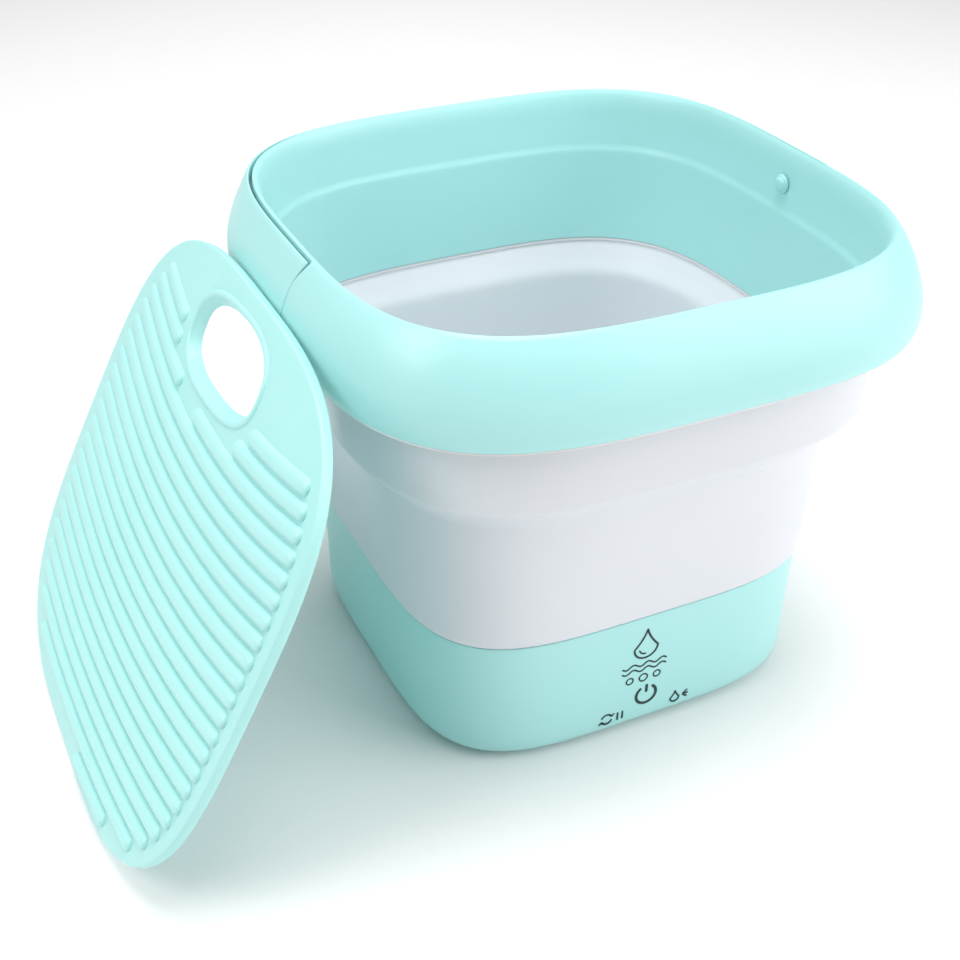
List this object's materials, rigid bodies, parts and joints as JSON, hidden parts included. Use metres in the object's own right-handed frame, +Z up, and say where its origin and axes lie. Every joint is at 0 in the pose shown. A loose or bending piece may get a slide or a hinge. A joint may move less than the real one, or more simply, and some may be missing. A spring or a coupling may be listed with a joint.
{
  "type": "portable mini washer",
  "caption": "Folding countertop mini washer: soft-walled square bucket with a motor base, hard rim, swing-up carrying handle and a leaning ribbed washboard.",
  "frame": {"origin": "middle of the bounding box of the bucket and its washboard, at the height the feet stand on", "axes": "+Z up, -Y out of the control panel, the washboard leans on the bucket at -X"},
  "size_m": [0.4564, 0.3224, 0.2731],
  "materials": {
    "mint_plastic": "satin",
    "white_plastic": "satin",
    "white_rubber": "matte",
    "black_rubber": "matte",
    "steel": "satin",
    "bronze": "satin",
    "circuit_board": "satin",
    "lamp_lens": "clear",
    "black_plastic": "satin",
    "wire": "satin"
  },
  "bodies": {
    "base": {"base_shell": "mint_plastic", "bottom_cover": "white_plastic", "tub_floor": "white_plastic", "wall_clamp_lower": "white_plastic", "foot_left_front": "black_rubber", "foot_left_rear": "black_rubber", "foot_right_front": "black_rubber", "foot_right_rear": "black_rubber", "cover_screw_left_front": "steel", "cover_screw_left_rear": "steel", "cover_screw_right_front": "steel", "cover_screw_right_rear": "steel", "motor_can": "steel", "motor_bracket": "steel", "motor_screw_left": "steel", "motor_screw_right": "steel", "drive_belt": "black_rubber", "shaft_bush_lower": "bronze", "shaft_bush_upper": "bronze", "shaft_seal": "black_rubber", "control_board": "circuit_board", "touch_board": "circuit_board", "lamp_board": "circuit_board", "lamp_lens": "lamp_lens", "power_inlet": "black_plastic", "motor_lead": "wire", "power_lead": "wire", "touch_lead": "wire", "wall_fold_lower": "white_rubber"},
    "wall": {"wall_tier": "white_rubber"},
    "rim": {"rim_ring": "mint_plastic", "pivot_pin_left": "mint_plastic", "pivot_pin_right": "mint_plastic", "wall_cuff": "white_rubber", "wall_clamp_upper": "white_plastic", "wall_fold_upper": "white_rubber"},
    "handle": {"handle": "mint_plastic"},
    "pulsator": {"pulsator": "white_plastic", "pulsator_cap": "mint_plastic", "drive_shaft": "steel", "drive_pulley": "white_plastic"},
    "motor_rotor": {"motor_shaft": "steel", "motor_pulley": "white_plastic"},
    "washboard": {"washboard": "mint_plastic"}
  },
  "joints": [
    {"name": "rim_collapse", "type": "slide", "parent": "base", "child": "rim", "axis": [0, 0, 1], "range_m": [-0.16, 0], "deforming": ["wall_fold_upper"]},
    {"name": "wall_slide", "type": "slide", "parent": "base", "child": "wall", "axis": [0, 0, 1], "range_m": [-0.08, 0], "deforming": ["wall_fold_lower"]},
    {"name": "handle_swing", "type": "hinge", "parent": "rim", "child": "handle", "pos_m": [0.06702, -0.0005, 0.253], "axis": [1, 0, 0], "range_deg": [0, 92]},
    {"name": "pulsator_spin", "type": "hinge", "parent": "base", "child": "pulsator", "pos_m": [0.06702, 0, 0.06], "axis": [0, 0, 1], "continuous": true},
    {"name": "motor_spin", "type": "hinge", "parent": "base", "child": "motor_rotor", "pos_m": [0.06702, 0.062, 0.0175], "axis": [0, 0, 1], "continuous": true},
    {"name": "washboard_lift", "type": "slide", "parent": "base", "child": "washboard", "axis": [0, 0, 1], "range_m": [0, 0.35]}
  ],
  "couplings": [
    {"joint": "wall_slide", "follows": "rim_collapse", "ratio": 0.5},
    {"joint": "motor_spin", "follows": "pulsator_spin", "ratio": 4}
  ]
}
